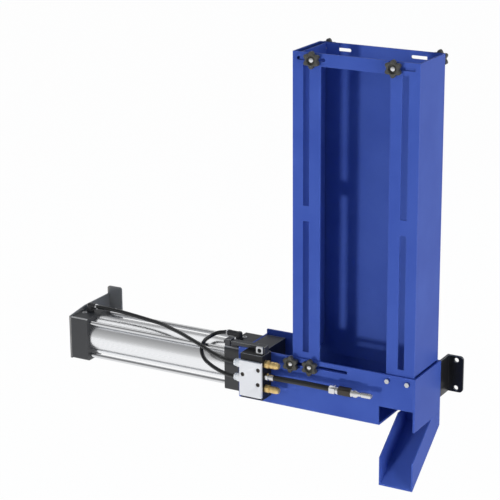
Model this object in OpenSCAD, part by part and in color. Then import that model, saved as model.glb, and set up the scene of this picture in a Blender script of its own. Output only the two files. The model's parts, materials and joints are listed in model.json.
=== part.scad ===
// Wall-mounted pneumatic can crusher with a stacking magazine.
// Positions are worked out from the front left bottom corner of the base:
// X runs along the cylinder, Y towards the wall and Z up.

/* [Cans] */
// Diameter of the largest can that the magazine takes
can_dia = 66; // [60:0.5:68]
// Room between the can and the magazine sheets, front to back
can_room = 6.2; // [5:0.1:9]

/* [Base] */
// Length of the open channel on the left of the magazine
loading_len = 82.5; // [76:0.5:100]
// Height of the base walls
base_height = 75; // [73:0.5:80]
// Sheet thickness of the base
base_sheet = 3; // [2.5:0.25:4]
// Inside radius of the base bends
bend_radius = 1.5; // [1:0.25:3]
// Length of the drop opening in front of the strike plate
exit_len = 50; // [44:0.5:56]
// Height of the notch in the front wall
notch_height = 28.5; // [24:0.5:34]

/* [Magazine] */
// Width of the magazine along the cylinder
tower_width = 180; // [175:0.5:190]
// Height of the magazine above the base walls
tower_height = 418; // [330:1:520]
// Sheet thickness of the magazine
tower_sheet = 2; // [1.5:0.25:2.5]
// Play between the magazine skirt and the base walls
nest_gap = 0.3; // [0.2:0.05:0.6]
// Depth of the skirt that goes down inside the base
skirt_depth = 17; // [15:0.5:20]
// Width of the two outer stiles of the front panel
stile_width = 15; // [12:0.5:18]
// Width of the narrow windows
side_slot_width = 9.3; // [7:0.1:11]
// Width of the inner bars of the front panel
bar_width = 16.2; // [13:0.1:19]
// Height of the band above the windows
top_band = 17; // [16:0.5:20]
// Height of the bridges between stile and bar
bridge_height = 21; // [14:0.5:26]
// Height of the band below the narrow windows
bottom_band = 9; // [6:0.5:12]

/* [Can guides] */
// Sheet thickness of the can guides
guide_sheet = 2; // [1.5:0.25:2.5]
// Diameter of the clamping studs
stud_dia = 4; // [3:0.25:5]
// Width of the adjusting slots
slot_width = 4.6; // [4.4:0.1:6]
// Length of the upper adjusting slots
top_slot_len = 41; // [34:0.5:46]
// Length of the lower adjusting slot
low_slot_len = 85; // [60:0.5:90]
// Distance between the two lower studs of a guide
foot_pitch = 28.9; // [26:0.1:32]
// Diameter of the star knobs
knob_dia = 23.5; // [20:0.5:27]
// Thickness of the star of a knob
knob_thick = 7; // [6:0.5:10]

/* [Exit chute] */
// Width of the exit chute
chute_width = 49.5; // [44:0.5:54]
// Sheet thickness of the exit chute
chute_sheet = 2; // [1.5:0.25:3]
// Depth of the chute mouth below the base
chute_drop = 83.7; // [70:0.5:95]
// Depth of the back of the chute below the base
chute_back_drop = 18.5; // [14:0.5:24]
// Height of the chute sides
chute_side = 40.2; // [34:0.5:44]

/* [Cylinder] */
// Side of the square cylinder caps
cap_side = 64; // [62:0.5:65]
// Length of the rear cap
rear_cap_len = 28; // [26:0.5:34]
// Length of the rod side cap
rod_cap_len = 28.5; // [27:0.5:34]
// Length of the barrel between the caps
barrel_len = 229; // [215:1:240]
// Outside diameter of the barrel
barrel_dia = 56; // [55:0.5:58]
// Bore of the barrel
bore_dia = 50; // [48:0.5:51]
// Diameter of the tie rods
tie_dia = 6; // [5:0.5:6.5]
// Distance between neighbouring tie rods
tie_pitch = 49; // [48.5:0.5:50]
// Diameter of the piston rod
rod_dia = 20; // [16:0.5:22]
// Length of the piston
piston_len = 20; // [16:0.5:24]

/* [Ram] */
// Thickness of the ram head
ram_len = 29.2; // [24:0.1:32]
// Step from the top of the base walls down to the ram head and the end plate
ram_room = 6; // [5:0.5:8]

/* [Valve] */
// Width of the valve along the cylinder
valve_width = 33.5; // [32:0.5:38]
// Height of the bright front plate of the valve
valve_height = 50.5; // [49:0.5:56]
// Depth of the valve from the base wall to its front
valve_depth = 29; // [27:0.5:32]
// Thickness of the bright front plate
plate_thick = 4; // [3:0.5:6]
// Diameter of the valve spool
spool_dia = 8; // [6:0.5:10]

/* [Air lines] */
// Outside diameter of the air tubes
tube_dia = 5.5; // [5:0.5:6.5]
// Outside diameter of the supply hose
hose_dia = 7.5; // [7:0.5:9]
// Diameter of the plug nose
nose_dia = 8; // [7:0.1:9]

/* [Brackets] */
// Sheet thickness of the wall brackets
bracket_sheet = 3; // [2.5:0.25:4]
// Distance from the back of the base to the wall
wall_gap = 29.7; // [24:0.1:36]
// Height of the right bracket
bracket_height = 52; // [48:0.5:56]
// Width of a bracket flange on the wall
flange_width = 24; // [22:0.5:28]
// Distance between the two screw holes of the right bracket
hole_pitch = 40; // [36:0.5:42]
// Diameter of the wall screw holes
hole_dia = 6.5; // [5:0.1:7]

/* [Hidden] */
$fn = 64;

// Length by which a cut runs past the faces it opens
over = 1;
// Play around a piece that slides or turns
run_gap = 0.3;
// Radial play of a turning stud or a sliding shaft
fit_gap = 0.05;
// Number of facets of small round parts
small_fn = 32;

// The base and what stands in it
magazine_room = can_dia + can_room;
tower_depth = magazine_room + 2*tower_sheet;
base_depth = tower_depth + 2*nest_gap + 2*base_sheet;
mid_y = base_depth/2;
axis_z = base_sheet + can_dia/2;
strike_gap = 0.5;
tower_x = loading_len;
strike_x = tower_x + tower_width + strike_gap;
base_len = strike_x + base_sheet;
drop_x = strike_x - exit_len;
tower_y = base_sheet + nest_gap;
tower_back = tower_y + tower_depth;
skirt_z = base_height - skirt_depth;
tower_top = base_height + tower_height;
side_lift = 2;
window_top = tower_top - top_band;
window_low = base_height - side_lift;
slot_low = base_height + bottom_band;
bridge_z = base_height + tower_height*0.46;
window_edge = stile_width + side_slot_width + bar_width;

// The can guides and their studs
guide_y = tower_y + tower_sheet + run_gap;
guide_depth = magazine_room - 2*run_gap;
stud_r = stud_dia/2;
slot_margin = slot_width/2;
low_slot_x = tower_x - stud_r/2;
low_stud_x = low_slot_x + slot_margin + run_gap/2;
low_stud_z = skirt_z + skirt_depth/2;
top_stud_z = tower_top - top_band/2;
top_slot_x = tower_x + stile_width*0.4;
top_stud_x = low_stud_x + foot_pitch;
right_slot_x = tower_x + tower_width - stile_width*0.4 - top_slot_len;
right_stud_x = right_slot_x + top_slot_len*0.3;
bolt_x = [right_stud_x - stud_r, right_stud_x - stud_r + foot_pitch];
back_stud_inset = 10;
back_left_x = tower_x + back_stud_inset;
back_right_x = tower_x + tower_width - back_stud_inset;
guide_web_x = tower_x + stile_width*0.6;
guide_tab = 15;
tab_margin = 7;
guide_low_z = base_height - guide_sheet*1.5;

// The star knobs and their studs
lobes = 6;
hub_dia = knob_dia*0.5;
hub_thick = 2;
// Depth of the stud's recess as a share of the star's thickness
recess_share = 0.6;
low_face = -run_gap;
top_face = tower_y - run_gap;
back_face = tower_back + run_gap;
stud_end = guide_y + guide_sheet;
low_reach = stud_end - low_face;
top_reach = stud_end - top_face;

// The cylinder
caps_z = axis_z - cap_side/2;
caps_y = mid_y - cap_side/2;
barrel_x = -rod_cap_len - barrel_len;
rear_x = barrel_x - rear_cap_len;
tie_offset = tie_pitch/2;
cap_spigot = 3;
piston_x = barrel_x + cap_spigot + run_gap;
seal_groove = 2.5;
groove_shares = [0.3, 0.7];
piston_r = bore_dia/2 - 2*fit_gap;
bush_wall = 3;
bush_r = rod_dia/2 + bush_wall;
nut_depth = 6;
nut_r = tie_dia*0.8;
cushion_r = 3.6;
cushion_len = 7;

// The elbows on the caps, rear and front
port_r = tube_dia*0.75;
port_depth = 3.5;
port_x = [rear_x + rear_cap_len*0.45, -rod_cap_len*0.79];
elbow_rise = [9, 7.5];
elbow_arm = [9.5, 17.5];
elbow_r = tube_dia*0.75;
collar_thick = 2.5;

// The ram
ram_x = base_sheet + run_gap;
ram_low = base_sheet + run_gap;
ram_high = base_height - ram_room;
ram_y = guide_y + guide_sheet + run_gap;
ram_width = base_depth - 2*ram_y;
thread_len = 14;
rod_room = 1.3;

// The valve
valve_inset = 31.5;
valve_top_inset = 7;
valve_x = tower_x - valve_inset - valve_width;
valve_front = -valve_depth;
valve_low = base_height - valve_top_inset - valve_height;
cap_step = 4;
valve_cap = 9.6;
housing_low = valve_low - cap_step;
housing_high = valve_low + valve_height + valve_cap;
port_y = valve_front + valve_depth*0.42;
out_shares = [0.82, 0.406];
right_shares = [0.925, 0.574, 0.228];
out_z = [for (s = out_shares) valve_low + valve_height*s];
right_z = [for (s = right_shares) valve_low + valve_height*s];
fitting_len = 14;
fitting_dia = 12;
silencer_len = 21.5;
inlet_len = 14;
spool_x = valve_x + valve_width*0.62;
spool_y = valve_front + valve_depth*0.64;
plunger_dia = spool_dia*0.6;
valve_screw_r = 1.6;

// The trip block over the valve, its bar and the bar's guide
trip_z = housing_high + run_gap;
block_len = 14;
block_depth = 10.8;
block_height = 10.6;
block_x = valve_x + valve_width - block_len;
block_front = -17.5;
trip_screw_r = 2.9;
trip_rise = 1.1;
bar_z = trip_z + trip_rise;
trip_y = block_front + block_depth;
trip_depth = 9;
trip_height = 5;
trip_left = -19.5;
guide_wall = 1.8;
guide_x = trip_left + trip_depth*0.3;
guide_len = 8;
guide_foot = 14;
plunger_travel = 3;
cam_run = 2*plunger_travel;

// The brackets and the wall
wall_y = base_depth + wall_gap;
hole_inset = 14;
hole_x = base_len - bracket_sheet + hole_inset;
bracket_drop = 1;
bracket_low = base_height - bracket_height - bracket_drop;
hole_z = bracket_low + bracket_height/2;
left_hole_low = 14;
left_hole_pitch = 30;
left_hole_x = rear_x - bracket_sheet + hole_inset;
bracket_screw_r = 2.5;
foot_width = 20;
bracket_screw_x = base_len - bracket_sheet - foot_width*0.5;
left_screw_r = 2.5;
left_screw_len = 12;

// Routes of the air lines, by hand, in the base's own frame
// Straight length of a line at each end, so that it leaves its fitting squarely
square_end = 2;
rear_start = [port_x[0] + elbow_arm[0] + collar_thick, mid_y, axis_z + cap_side/2 + elbow_rise[0]];
front_start = [port_x[1] - elbow_arm[1] - collar_thick, mid_y, axis_z + cap_side/2 + elbow_rise[1]];
rear_end = [valve_x - fitting_len, port_y, out_z[0]];
front_end = [valve_x - fitting_len, port_y, out_z[1]];
hose_start = [valve_x + valve_width + inlet_len, port_y, right_z[1]];
plug_tilt = 0.7;
plug_at = [151, -18.2, 47.5];
plug_way = [cos(plug_tilt), 0, sin(plug_tilt)];
rear_route = [rear_start, rear_start + [square_end, 0, 0],
    [-247.5, 41.5, 77.2], [-232.5, 41.5, 76.7], [-217.5, 41.4, 76], [-197.5, 40, 75],
    [-175.5, 37.5, 74], [-157.5, 34, 73.8], [-140.5, 29.4, 74], [-121.5, 20.9, 73.9],
    [-101.5, 12.5, 73.2], [-78.5, 3.5, 70.8], [-56.5, -3.6, 67.2], [-42.5, -8, 64],
    [-28.5, -11.6, 61.4], [-14.5, -15.2, 60], [-5.5, -16.6, 59.1],
    rear_end - [square_end, 0, 0], rear_end];
front_route = [front_start, front_start - [square_end, 0, 0],
    [-47.5, 41, 74.8], [-54.5, 38.8, 73.6], [-60, 33.5, 71.4], [-62.5, 27.5, 69.6], [-63.5, 21.5, 68.7],
    [-63.5, 15.2, 67.6], [-63, 8.5, 63.2], [-62.5, 5, 58], [-59.5, 2, 52.6], [-53.5, -1.8, 47.8],
    [-41.5, -7.5, 44], [-26.5, -12.5, 40.8], [-13.5, -15.6, 39], [-5.5, -16.6, 38.2],
    front_end - [square_end, 0, 0], front_end];
hose_route = [hose_start, hose_start + [square_end, 0, 0],
    [78.5, -17.3, 46.9], [90.5, -17.7, 47.3], [103.5, -18, 47.6], [116.5, -18.2, 47.8], [129.5, -18.2, 47.8], [140.5, -18.2, 47.7],
    plug_at - square_end*plug_way, plug_at];
tube_sides = 10;
collar_len = 13;
collar_flats = 13;
body_len = 18;
body_flats = 12;

module blue() color([0.16, 0.24, 0.66]) children();
module black() color([0.16, 0.16, 0.17]) children();
module steel() color([0.76, 0.77, 0.79]) children();

// Puts the part's origin at the right bracket's screw holes on the wall
module place() translate([-hole_x, -wall_y, -hole_z]) children();

// Rod along X, Y or Z from a point
module rod_x(from, r, len, fn = $fn) translate(from) rotate([0, 90, 0]) cylinder(r = r, h = len, $fn = fn);
module rod_y(from, r, len, fn = $fn) translate(from) rotate([-90, 0, 0]) cylinder(r = r, h = len, $fn = fn);
module rod_z(from, r, len, fn = $fn) translate(from) cylinder(r = r, h = len, $fn = fn);

// Round-ended slot along X, cut through along Y
module slot_y(x, y, z, len, width, depth) {
    rod_y([x + width/2, y, z], width/2, depth);
    rod_y([x + len - width/2, y, z], width/2, depth);
    translate([x + width/2, y, z - width/2]) cube([len - width, depth, width]);
}

// Outline of a channel with rounded lower corners
module channel_outline(w, h, r) {
    translate([0, r]) square([w, h - r]);
    translate([r, 0]) square([w - 2*r, r]);
    for (x = [r, w - r]) translate([x, r]) circle(r);
}

// Flat plate with rounded corners, in the XY plane
module round_plate(w, h, r, t) {
    linear_extrude(t) {
        translate([r, 0]) square([w - 2*r, h]);
        translate([0, r]) square([w, h - 2*r]);
        for (x = [r, w - r], y = [r, h - r]) translate([x, y]) circle(r, $fn = small_fn);
    }
}

// Lower slot and stud holes shared by the base wall and the magazine skirt
module foot_cuts(y, depth) {
    slot_y(low_slot_x, y, low_stud_z, low_slot_len, slot_width, depth);
    for (x = bolt_x) rod_y([x, y, low_stud_z], stud_r + fit_gap, depth, small_fn);
}

module base_channel() place() blue() {
    inner_r = bend_radius;
    outer_r = bend_radius + base_sheet;
    difference() {
        rotate([90, 0, 90]) linear_extrude(strike_x)
            difference() {
                channel_outline(base_depth, base_height, outer_r);
                translate([base_sheet, base_sheet])
                    channel_outline(base_depth - 2*base_sheet, base_height, inner_r);
            }
        translate([drop_x, -over, -over])
            cube([exit_len + over, base_sheet + 2*over, notch_height + over]);
        translate([drop_x, -over, -over])
            cube([exit_len + over, base_depth - base_sheet + over, base_sheet + outer_r + over]);
        foot_cuts(-over, base_sheet + 2*over);
        for (p = valve_screw_places())
            rod_y([p[0], -over, p[1]], valve_screw_r + fit_gap, base_sheet + 2*over, small_fn);
        for (z = bracket_screw_z())
            rod_y([bracket_screw_x, base_depth - base_sheet - over, z], bracket_screw_r,
                base_sheet + 2*over, small_fn);
    }
}

// The end plate stands between the base walls and stops level with the ram
module end_plate() place() blue() difference() {
    translate([0, base_sheet, base_sheet]) rotate([90, 0, 90]) linear_extrude(base_sheet)
        channel_outline(base_depth - 2*base_sheet, ram_high - base_sheet, bend_radius);
    rod_x([-over, mid_y, axis_z], rod_dia/2 + rod_room, base_sheet + 2*over);
}

module strike_plate() place() blue()
    translate([strike_x, 0, 0]) cube([base_sheet, base_depth, base_height]);

module exit_chute() place() blue() {
    mouth_y = -chute_sheet*1.5;
    out_x = base_len - chute_width;
    run = base_depth - mouth_y;
    fall = chute_drop - chute_back_drop;
    steep = chute_sheet*sqrt(run*run + fall*fall)/run;
    side_end = mouth_y + (chute_drop - chute_side)*run/fall;
    for (x = [out_x, base_len - chute_sheet])
        translate([x, 0, 0]) rotate([90, 0, 90]) linear_extrude(chute_sheet)
            polygon([[mouth_y, -chute_drop], [base_depth, -chute_back_drop], [base_depth, 0],
                [min(side_end, base_depth*0.8), 0], [mouth_y, chute_side - chute_drop]]);
    translate([out_x + chute_sheet, 0, 0]) rotate([90, 0, 90])
        linear_extrude(chute_width - 2*chute_sheet)
            polygon([[mouth_y, -chute_drop], [base_depth, -chute_back_drop], [base_depth, 0],
                [base_depth - chute_sheet, 0],
                [base_depth - chute_sheet, steep - chute_back_drop - chute_sheet*fall/run],
                [mouth_y, steep - chute_drop]]);
}

// The upper adjusting slots, the same front and back
module top_slots(y) {
    for (x = [top_slot_x, right_slot_x])
        slot_y(x, y - over, top_stud_z, top_slot_len, slot_width, tower_sheet + 2*over);
}

module window_cut(x, z, w, h)
    translate([x, tower_y - over, z]) cube([w, tower_sheet + 2*over, h]);

module magazine_front() place() blue() difference() {
    translate([tower_x, tower_y, skirt_z]) cube([tower_width, tower_sheet, tower_top - skirt_z]);
    window_cut(tower_x + window_edge, window_low, tower_width - 2*window_edge, window_top - window_low);
    for (x = [stile_width, tower_width - stile_width - side_slot_width]) {
        window_cut(tower_x + x, slot_low, side_slot_width, bridge_z - slot_low);
        window_cut(tower_x + x, bridge_z + bridge_height, side_slot_width,
            window_top - bridge_z - bridge_height);
    }
    top_slots(tower_y);
    foot_cuts(tower_y - over, tower_sheet + 2*over);
}

module magazine_back() place() blue() difference() {
    translate([tower_x, tower_back - tower_sheet, skirt_z])
        cube([tower_width, tower_sheet, tower_top - skirt_z]);
    top_slots(tower_back - tower_sheet);
}

module magazine_side(x) translate([x, tower_y + tower_sheet, base_height + side_lift])
    cube([tower_sheet, tower_depth - 2*tower_sheet, tower_height - side_lift]);
module magazine_left_side() place() blue() magazine_side(tower_x);
module magazine_right_side() place() blue() magazine_side(tower_x + tower_width - tower_sheet);

// Tab of a can guide, bored for studs
module guide_tab_at(x, y, z, len, height, studs, r) difference() {
    translate([x, y, z]) cube([len, guide_sheet, height]);
    for (s = studs) rod_y([s[0], y - over, s[1]], r, guide_sheet + 2*over, small_fn);
}

module left_can_guide() place() blue() {
    back_y = guide_y + guide_depth - guide_sheet;
    r = stud_r + fit_gap;
    tab_x = low_stud_x - tab_margin;
    tab_end = top_stud_x + tab_margin;
    top_z = top_stud_z - guide_tab/2;
    translate([guide_web_x, guide_y + guide_sheet, guide_low_z])
        cube([guide_sheet, guide_depth - 2*guide_sheet, top_z + guide_tab - guide_low_z]);
    guide_tab_at(tab_x, guide_y, skirt_z, tab_end - tab_x, guide_low_z + guide_sheet - skirt_z,
        [[low_stud_x, low_stud_z], [top_stud_x, low_stud_z]], r);
    guide_tab_at(guide_web_x, guide_y, top_z, tab_end - guide_web_x, guide_tab,
        [[top_stud_x, top_stud_z]], r);
    guide_tab_at(guide_web_x, back_y, top_z, tab_margin*3, guide_tab,
        [[back_left_x, top_stud_z]], r);
}

module right_can_guide() place() blue() {
    back_y = guide_y + guide_depth - guide_sheet;
    web_x = tower_x + tower_width - tower_sheet - run_gap - guide_sheet;
    r = stud_r + fit_gap;
    tab_x = right_stud_x - tab_margin;
    tab_len = web_x + guide_sheet - tab_x;
    top_z = top_stud_z - guide_tab/2;
    translate([web_x, guide_y + guide_sheet, guide_low_z])
        cube([guide_sheet, guide_depth - 2*guide_sheet, top_z + guide_tab - guide_low_z]);
    guide_tab_at(tab_x, guide_y, skirt_z, tab_len, guide_low_z + guide_sheet - skirt_z,
        [for (x = bolt_x) [x, low_stud_z]], r);
    guide_tab_at(tab_x, guide_y, top_z, tab_len, guide_tab, [[right_stud_x, top_stud_z]], r);
    guide_tab_at(web_x + guide_sheet - tab_margin*3, back_y, top_z, tab_margin*3, guide_tab,
        [[back_right_x, top_stud_z]], r);
}

// Hex bolts that hold the right guide and the skirt to the base wall
module guide_bolts() place() steel() {
    head = stud_dia*0.8;
    for (x = bolt_x) {
        rod_y([x, -head, low_stud_z], stud_dia*0.9, head, 6);
        rod_y([x, -head/2, low_stud_z], stud_r, head/2 + guide_y + guide_sheet, small_fn);
    }
}

// Square block along X with its corners rounded
module cap_block(x, len) {
    r = cap_side*0.05;
    translate([x, caps_y, caps_z]) rotate([90, 0, 90]) round_plate(cap_side, cap_side, r, len);
}

module tie_places() for (y = [-tie_offset, tie_offset], z = [-tie_offset, tie_offset])
    translate([0, mid_y + y, axis_z + z]) children();

module cap_bores(x, len, port) {
    tie_places() rod_x([x - over, 0, 0], tie_dia/2 + fit_gap, len + 2*over, small_fn);
    rod_z([port, mid_y, axis_z + cap_side/2 - nut_depth], port_r, nut_depth + over, small_fn);
}

module rear_cap() place() black() difference() {
    union() {
        cap_block(rear_x, rear_cap_len);
        rod_x([barrel_x - over, mid_y, axis_z], bore_dia/2 - fit_gap, cap_spigot + over);
    }
    cap_bores(rear_x, rear_cap_len, port_x[0]);
    tie_places() rod_x([rear_x - over, 0, 0], nut_r + fit_gap, nut_depth + over, small_fn);
    for (p = cushion_places()) if (p[0] < barrel_x)
        rod_z([p[0], p[1], p[2] - cushion_len], cushion_r + fit_gap, cushion_len + over, small_fn);
    for (p = left_screw_places())
        rod_x([rear_x - over, p[0], p[1]], left_screw_r + fit_gap, left_screw_len + over, small_fn);
}

module rod_cap() place() black() difference() {
    union() {
        cap_block(-rod_cap_len, rod_cap_len);
        rod_x([-rod_cap_len - cap_spigot, mid_y, axis_z], bore_dia/2 - fit_gap, cap_spigot + over);
    }
    cap_bores(-rod_cap_len, rod_cap_len, port_x[1]);
    rod_x([-rod_cap_len - cap_spigot - over, mid_y, axis_z], bush_r, rod_cap_len + cap_spigot + 2*over);
    for (p = cushion_places()) if (p[0] > barrel_x)
        rod_z([p[0], p[1], p[2] - cushion_len], cushion_r + fit_gap, cushion_len + over, small_fn);
}

module barrel() place() color([0.86, 0.87, 0.89]) difference() {
    rod_x([barrel_x, mid_y, axis_z], barrel_dia/2, barrel_len, 96);
    rod_x([barrel_x - over, mid_y, axis_z], bore_dia/2, barrel_len + 2*over, 96);
}

module tie_rods() place() steel() tie_places()
    rod_x([rear_x + nut_depth*0.2, 0, 0], tie_dia/2, -rear_x - nut_depth*0.2, small_fn);

// Round nuts that sit in the counterbores of the rear cap
module tie_rod_nuts() place() steel() tie_places() difference() {
    rod_x([rear_x + nut_depth*0.1, 0, 0], nut_r, nut_depth*0.85, small_fn);
    rod_x([rear_x, 0, 0], tie_dia/2 + fit_gap/2, nut_depth, small_fn);
}

function cushion_places() = [
    [rear_x + rear_cap_len*0.3, mid_y - cap_side*0.14, axis_z + cap_side/2],
    [-rod_cap_len*0.716, mid_y + cap_side*0.175, axis_z + cap_side/2]];

module cushion_screws() place() steel() for (p = cushion_places()) difference() {
    translate([p[0], p[1], p[2] - cushion_len]) cylinder(r = cushion_r, h = cushion_len*1.12, $fn = small_fn);
    rod_z([p[0], p[1], p[2] - cushion_len*0.4], cushion_r*0.5, cushion_len, 6);
}

module piston() place() color([0.7, 0.71, 0.73]) difference() {
    rod_x([piston_x, mid_y, axis_z], piston_r - fit_gap, piston_len);
    rod_x([piston_x - over, mid_y, axis_z], rod_dia*0.3, piston_len + 2*over);
    for (s = groove_shares) seal_ring(s, piston_r - seal_groove, bore_dia);
}

// A ring in a groove of the piston; s is its place along the piston
module seal_ring(s, r_in, r_out) difference() {
    rod_x([piston_x + piston_len*s - seal_groove/2, mid_y, axis_z], r_out, seal_groove);
    rod_x([piston_x + piston_len*s - seal_groove/2 - over, mid_y, axis_z], r_in, seal_groove + 2*over);
}

module piston_seals() place() color([0.08, 0.08, 0.08])
    for (s = groove_shares) seal_ring(s, piston_r - seal_groove, piston_r);

module piston_rod() place() steel() {
    shoulder = piston_x + piston_len;
    rod_x([piston_x, mid_y, axis_z], rod_dia*0.3, piston_len + over);
    rod_x([shoulder, mid_y, axis_z], rod_dia/2, ram_x - shoulder);
    rod_x([ram_x - over, mid_y, axis_z], rod_dia*0.35, thread_len + over);
}

module rod_bush() place() color([0.72, 0.5, 0.2]) difference() {
    rod_x([-rod_cap_len - cap_spigot, mid_y, axis_z], bush_r, rod_cap_len + cap_spigot);
    rod_x([-rod_cap_len - cap_spigot - over, mid_y, axis_z], rod_dia/2 + fit_gap,
        rod_cap_len + cap_spigot + 2*over);
}

module ram_head() place() black() difference() {
    translate([ram_x, ram_y, ram_low]) cube([ram_len, ram_width, ram_high - ram_low]);
    rod_x([ram_x - over, mid_y, axis_z], rod_dia*0.35, thread_len + over);
}

function valve_screw_places() = [
    [valve_x + valve_width*0.143, valve_low + valve_height*0.61],
    [valve_x + valve_width*0.863, valve_low + valve_height*0.798],
    [valve_x + valve_width*0.851, valve_low + valve_height*0.384]];

module valve_ports(cut) {
    for (z = out_z) rod_x([valve_x - over, port_y, z], port_r, cut + over, small_fn);
    for (z = right_z) rod_x([valve_x + valve_width - cut, port_y, z], port_r, cut + over, small_fn);
}

module valve_housing() place() black() difference() {
    translate([valve_x, valve_front + plate_thick, housing_low])
        cube([valve_width, valve_depth - plate_thick, housing_high - housing_low]);
    translate([valve_x - over, valve_front - over, housing_low - over])
        cube([valve_width + 2*over, over + plate_thick, valve_height]);
    valve_ports(port_depth);
    rod_z([spool_x, spool_y, valve_low + cap_step], spool_dia/2 + fit_gap,
        housing_high - valve_low - 2*cap_step);
    rod_z([spool_x, spool_y, valve_low], plunger_dia/2 + fit_gap, housing_high);
    for (p = valve_screw_places())
        rod_y([p[0], valve_front - over, p[1]], valve_screw_r + fit_gap, valve_depth + 2*over, small_fn);
}

module valve_plate() place() color([0.88, 0.88, 0.89]) difference() {
    translate([valve_x, valve_front, valve_low]) cube([valve_width, plate_thick, valve_height]);
    for (p = valve_screw_places()) {
        rod_y([p[0], valve_front - over, p[1]], valve_screw_r + fit_gap, plate_thick + 2*over, small_fn);
        rod_y([p[0], valve_front - over, p[1]], valve_screw_r*1.9, over + plate_thick*0.4, small_fn);
    }
}

module valve_screws() place() steel() for (p = valve_screw_places()) difference() {
    union() {
        rod_y([p[0], valve_front + plate_thick*0.1, p[1]], valve_screw_r*1.8, plate_thick*0.3, small_fn);
        rod_y([p[0], valve_front + plate_thick*0.1, p[1]], valve_screw_r, valve_depth + base_sheet, small_fn);
    }
    rod_y([p[0], valve_front - over, p[1]], valve_screw_r*0.9, over + plate_thick*0.3, 6);
}

module valve_spool() place() steel() {
    land = (housing_high - valve_low - 2*cap_step)/9;
    low = valve_low + 2*cap_step;
    reach = housing_high - low - 2*cap_step;
    for (k = [0 : 2 : 6]) rod_z([spool_x, spool_y, low + reach*k/7], spool_dia/2, reach/7, small_fn);
    rod_z([spool_x, spool_y, low], plunger_dia/2, trip_z + plunger_travel - run_gap - low, small_fn);
}

// Threaded end of a fitting, sunk in its port
module port_root() translate([0, 0, fit_gap - port_depth])
    cylinder(r = port_r - fit_gap, h = port_depth, $fn = small_fn);

// Push-in fitting along X with a rounded nose; dir is the way that its mouth points
module push_in(at, dir, r, len) translate(at) rotate([0, 90*dir, 0]) {
    cylinder(r = r*0.75, h = len*0.15, $fn = small_fn);
    translate([0, 0, len*0.15]) cylinder(r = r, h = len*0.6, $fn = small_fn);
    translate([0, 0, len*0.75]) cylinder(r = r*0.8, h = len*0.25, $fn = small_fn);
    port_root();
}

module valve_fittings() place() color([0.9, 0.9, 0.88])
    for (z = out_z) push_in([valve_x, port_y, z], -1, fitting_dia/2, fitting_len);

module exhaust_silencers() place() color([0.78, 0.6, 0.24]) for (z = [right_z[0], right_z[2]])
    translate([valve_x + valve_width, port_y, z]) rotate([0, 90, 0]) {
        r = fitting_dia*0.48;
        port_root();
        cylinder(r = r*1.05, h = silencer_len*0.32, $fn = 6);
        translate([0, 0, silencer_len*0.32]) cylinder(r = r*0.62, h = silencer_len*0.1, $fn = small_fn);
        translate([0, 0, silencer_len*0.42]) cylinder(r = r*0.85, h = silencer_len*0.46, $fn = small_fn);
        translate([0, 0, silencer_len*0.88]) cylinder(r = r*0.7, h = silencer_len*0.12, $fn = small_fn);
    }

module inlet_fitting() place() color([0.72, 0.72, 0.6])
    translate([valve_x + valve_width, port_y, right_z[1]]) rotate([0, 90, 0]) {
        port_root();
        cylinder(r = fitting_dia*0.5, h = inlet_len*0.45, $fn = 6);
        translate([0, 0, inlet_len*0.45]) cylinder(r = hose_dia*0.62, h = inlet_len*0.55, $fn = small_fn);
    }

// Elbows on the caps: a stem with a hexagon foot and an arm along X
module cap_elbows() place() black() for (k = [0, 1]) {
    dir = 1 - 2*k;
    rod_z([port_x[k], mid_y, axis_z + cap_side/2 - nut_depth*0.9], port_r - fit_gap, nut_depth, small_fn);
    rod_z([port_x[k], mid_y, axis_z + cap_side/2], elbow_r*1.35, elbow_rise[k]*0.4, 6);
    translate([port_x[k], mid_y, axis_z + cap_side/2]) {
        cylinder(r = elbow_r*1.12, h = elbow_rise[k] + elbow_r, $fn = small_fn);
        translate([0, 0, elbow_rise[k]]) rotate([0, 90*dir, 0])
            cylinder(r = elbow_r, h = elbow_arm[k], $fn = small_fn);
    }
}

module elbow_collars() place() steel() for (k = [0, 1])
    translate([port_x[k] + (1 - 2*k)*elbow_arm[k], mid_y, axis_z + cap_side/2 + elbow_rise[k]])
        rotate([0, 90 - 180*k, 0]) cylinder(r = elbow_r*0.92, h = collar_thick, $fn = small_fn);

module trip_bar() place() black()
    translate([trip_left, trip_y, bar_z])
        cube([block_x + block_len/2 - trip_left, trip_depth, trip_height]);

// The block has a cam under it that pushes the valve's plunger down as the bar slides
module trip_block() place() black() difference() {
    start = spool_x - plunger_dia/2 - run_gap;
    ramp = spool_x + plunger_dia/2 + run_gap;
    width = plunger_dia + 2*run_gap;
    translate([block_x, block_front, trip_z]) cube([block_len, block_depth, block_height]);
    rod_y([block_x + block_len/2, block_front - over, trip_z + block_height/2], trip_screw_r,
        over + block_len/5, small_fn);
    translate([0, spool_y + width/2, trip_z]) rotate([90, 0, 0]) linear_extrude(width)
        polygon([[start, -over], [start, plunger_travel], [ramp, plunger_travel],
            [ramp + cam_run + 2*over, -over]]);
}

// Square nut with rounded corners on the front of the block
module trip_nut() place() steel() {
    thick = trip_screw_r;
    translate([block_x + (block_len - block_height)/2, block_front, trip_z]) rotate([90, 0, 0])
        difference() {
            round_plate(block_height, block_height, block_height*0.2, thick);
            translate([block_height/2, block_height/2, -over])
                cylinder(r = trip_screw_r, h = thick + 2*over, $fn = small_fn);
        }
}

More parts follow.
